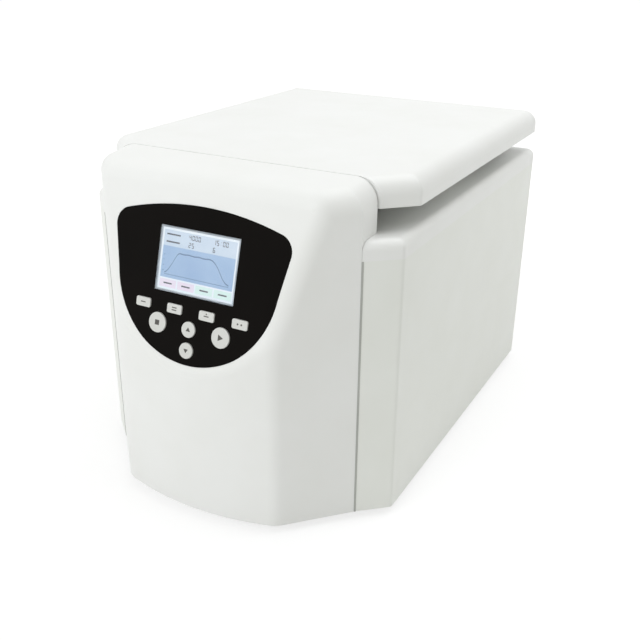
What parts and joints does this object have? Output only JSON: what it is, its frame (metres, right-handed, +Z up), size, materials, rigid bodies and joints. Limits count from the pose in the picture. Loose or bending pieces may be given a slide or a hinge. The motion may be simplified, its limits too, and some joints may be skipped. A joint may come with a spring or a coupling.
{
  "type": "benchtop centrifuge",
  "caption": "Benchtop laboratory centrifuge with a bowed front, leaning shield-shaped keypad, screen, hinged lid over a steel chamber and a driven fixed-angle rotor.",
  "frame": {"origin": "on the bench, under the middle of the overall box", "axes": "+X to the right of the operator facing the keypad, +Y to the rear, +Z up"},
  "size_m": [0.39, 0.581, 0.381],
  "materials": {
    "casing": "satin moulded",
    "lid_lining": "satin moulded",
    "painted_sheet": "satin paint",
    "keypad_gloss": "gloss",
    "screen_glass": "clear",
    "screen": "lit",
    "circuit_board": "solder mask",
    "key_cap": "satin",
    "black_plastic": "moulded",
    "stainless": "spun",
    "gasket": "smooth",
    "rubber": "matt",
    "zinc_sheet": "zinc plated",
    "armour_steel": "painted",
    "steel": "ground",
    "screw_steel": "zinc plated",
    "cast_aluminium": "cast",
    "laminations": "laminated",
    "rotor_aluminium": "anodised",
    "guard_wire": "plated",
    "pin_brass": "plain"
  },
  "bodies": {
    "chassis": {"armour_ring": "armour_steel", "base_tray": "zinc_sheet", "board_bracket": "zinc_sheet", "cabinet_screws": "screw_steel", "chamber_bowl": "stainless", "chamber_gasket": "gasket", "control_board": "circuit_board", "display_board": "circuit_board", "display_glass": "screen_glass", "fan_frame": "black_plastic", "fan_guard": "guard_wire", "feet": "rubber", "front_fascia": "casing", "hinge_brackets": "zinc_sheet", "hinge_pins": "steel", "inlet_pins": "pin_brass", "key_switches": "black_plastic", "keypad_face": "keypad_gloss", "lcd_module": "screen", "left_side_cover": "painted_sheet", "lid_pads": "rubber", "lock_housing": "cast_aluminium", "lock_solenoid": "laminations", "motor_bearings": "steel", "motor_bolts": "steel", "motor_cap": "cast_aluminium", "motor_drive": "cast_aluminium", "motor_housing": "cast_aluminium", "motor_plate": "zinc_sheet", "motor_stator": "laminations", "power_inlet": "black_plastic", "rear_bumpers": "rubber", "rear_panel": "painted_sheet", "right_side_cover": "painted_sheet", "rocker_frame": "black_plastic", "rubber_mounts": "rubber", "shaft_boot": "rubber", "speed_sensor": "black_plastic", "top_deck": "casing"},
    "lid": {"lid_shell": "casing", "lid_liner": "lid_lining", "lid_arms": "zinc_sheet", "lid_striker": "zinc_sheet", "liner_screws": "screw_steel"},
    "spindle": {"motor_shaft": "steel", "motor_core": "laminations", "drive_collar": "steel", "rotor": "rotor_aluminium", "rotor_nut": "rotor_aluminium"},
    "fan_impeller": {"fan_impeller": "black_plastic"},
    "lock_bolt": {"lock_bolt": "steel"},
    "power_rocker": {"power_rocker": "black_plastic"},
    "key_soft_1": {"key_soft_1": "key_cap"},
    "key_soft_2": {"key_soft_2": "key_cap"},
    "key_soft_3": {"key_soft_3": "key_cap"},
    "key_soft_4": {"key_soft_4": "key_cap"},
    "key_stop": {"key_stop": "key_cap"},
    "key_start": {"key_start": "key_cap"},
    "key_up": {"key_up": "key_cap"},
    "key_down": {"key_down": "key_cap"}
  },
  "joints": [
    {"name": "lid_hinge", "type": "hinge", "parent": "chassis", "child": "lid", "pos_m": [0, 0.2685, 0.3445], "axis": [-1, 0, 0], "range_deg": [0, 75]},
    {"name": "rotor_spin", "type": "hinge", "parent": "chassis", "child": "spindle", "pos_m": [0, 0.0325, 0.2], "axis": [0, 0, 1], "continuous": true},
    {"name": "fan_spin", "type": "hinge", "parent": "chassis", "child": "fan_impeller", "pos_m": [-0.11, 0.2695, 0.097], "axis": [0, 1, 0], "continuous": true},
    {"name": "lock_slide", "type": "slide", "parent": "chassis", "child": "lock_bolt", "axis": [0, -1, 0], "range_m": [0, 0.008]},
    {"name": "rocker_tilt", "type": "hinge", "parent": "chassis", "child": "power_rocker", "pos_m": [0.06, 0.28025, 0.064], "axis": [-1, 0, 0], "range_deg": [0, 16]},
    {"name": "key_soft_1_press", "type": "slide", "parent": "chassis", "child": "key_soft_1", "axis": [0, 0.9613, -0.2756], "range_m": [0, 0.001], "stiffness_N_per_m": 900},
    {"name": "key_soft_2_press", "type": "slide", "parent": "chassis", "child": "key_soft_2", "axis": [0, 0.9613, -0.2756], "range_m": [0, 0.001], "stiffness_N_per_m": 900},
    {"name": "key_soft_3_press", "type": "slide", "parent": "chassis", "child": "key_soft_3", "axis": [0, 0.9613, -0.2756], "range_m": [0, 0.001], "stiffness_N_per_m": 900},
    {"name": "key_soft_4_press", "type": "slide", "parent": "chassis", "child": "key_soft_4", "axis": [0, 0.9613, -0.2756], "range_m": [0, 0.001], "stiffness_N_per_m": 900},
    {"name": "key_stop_press", "type": "slide", "parent": "chassis", "child": "key_stop", "axis": [0, 0.9613, -0.2756], "range_m": [0, 0.001], "stiffness_N_per_m": 900},
    {"name": "key_start_press", "type": "slide", "parent": "chassis", "child": "key_start", "axis": [0, 0.9613, -0.2756], "range_m": [0, 0.001], "stiffness_N_per_m": 900},
    {"name": "key_up_press", "type": "slide", "parent": "chassis", "child": "key_up", "axis": [0, 0.9613, -0.2756], "range_m": [0, 0.001], "stiffness_N_per_m": 900},
    {"name": "key_down_press", "type": "slide", "parent": "chassis", "child": "key_down", "axis": [0, 0.9613, -0.2756], "range_m": [0, 0.001], "stiffness_N_per_m": 900}
  ]
}
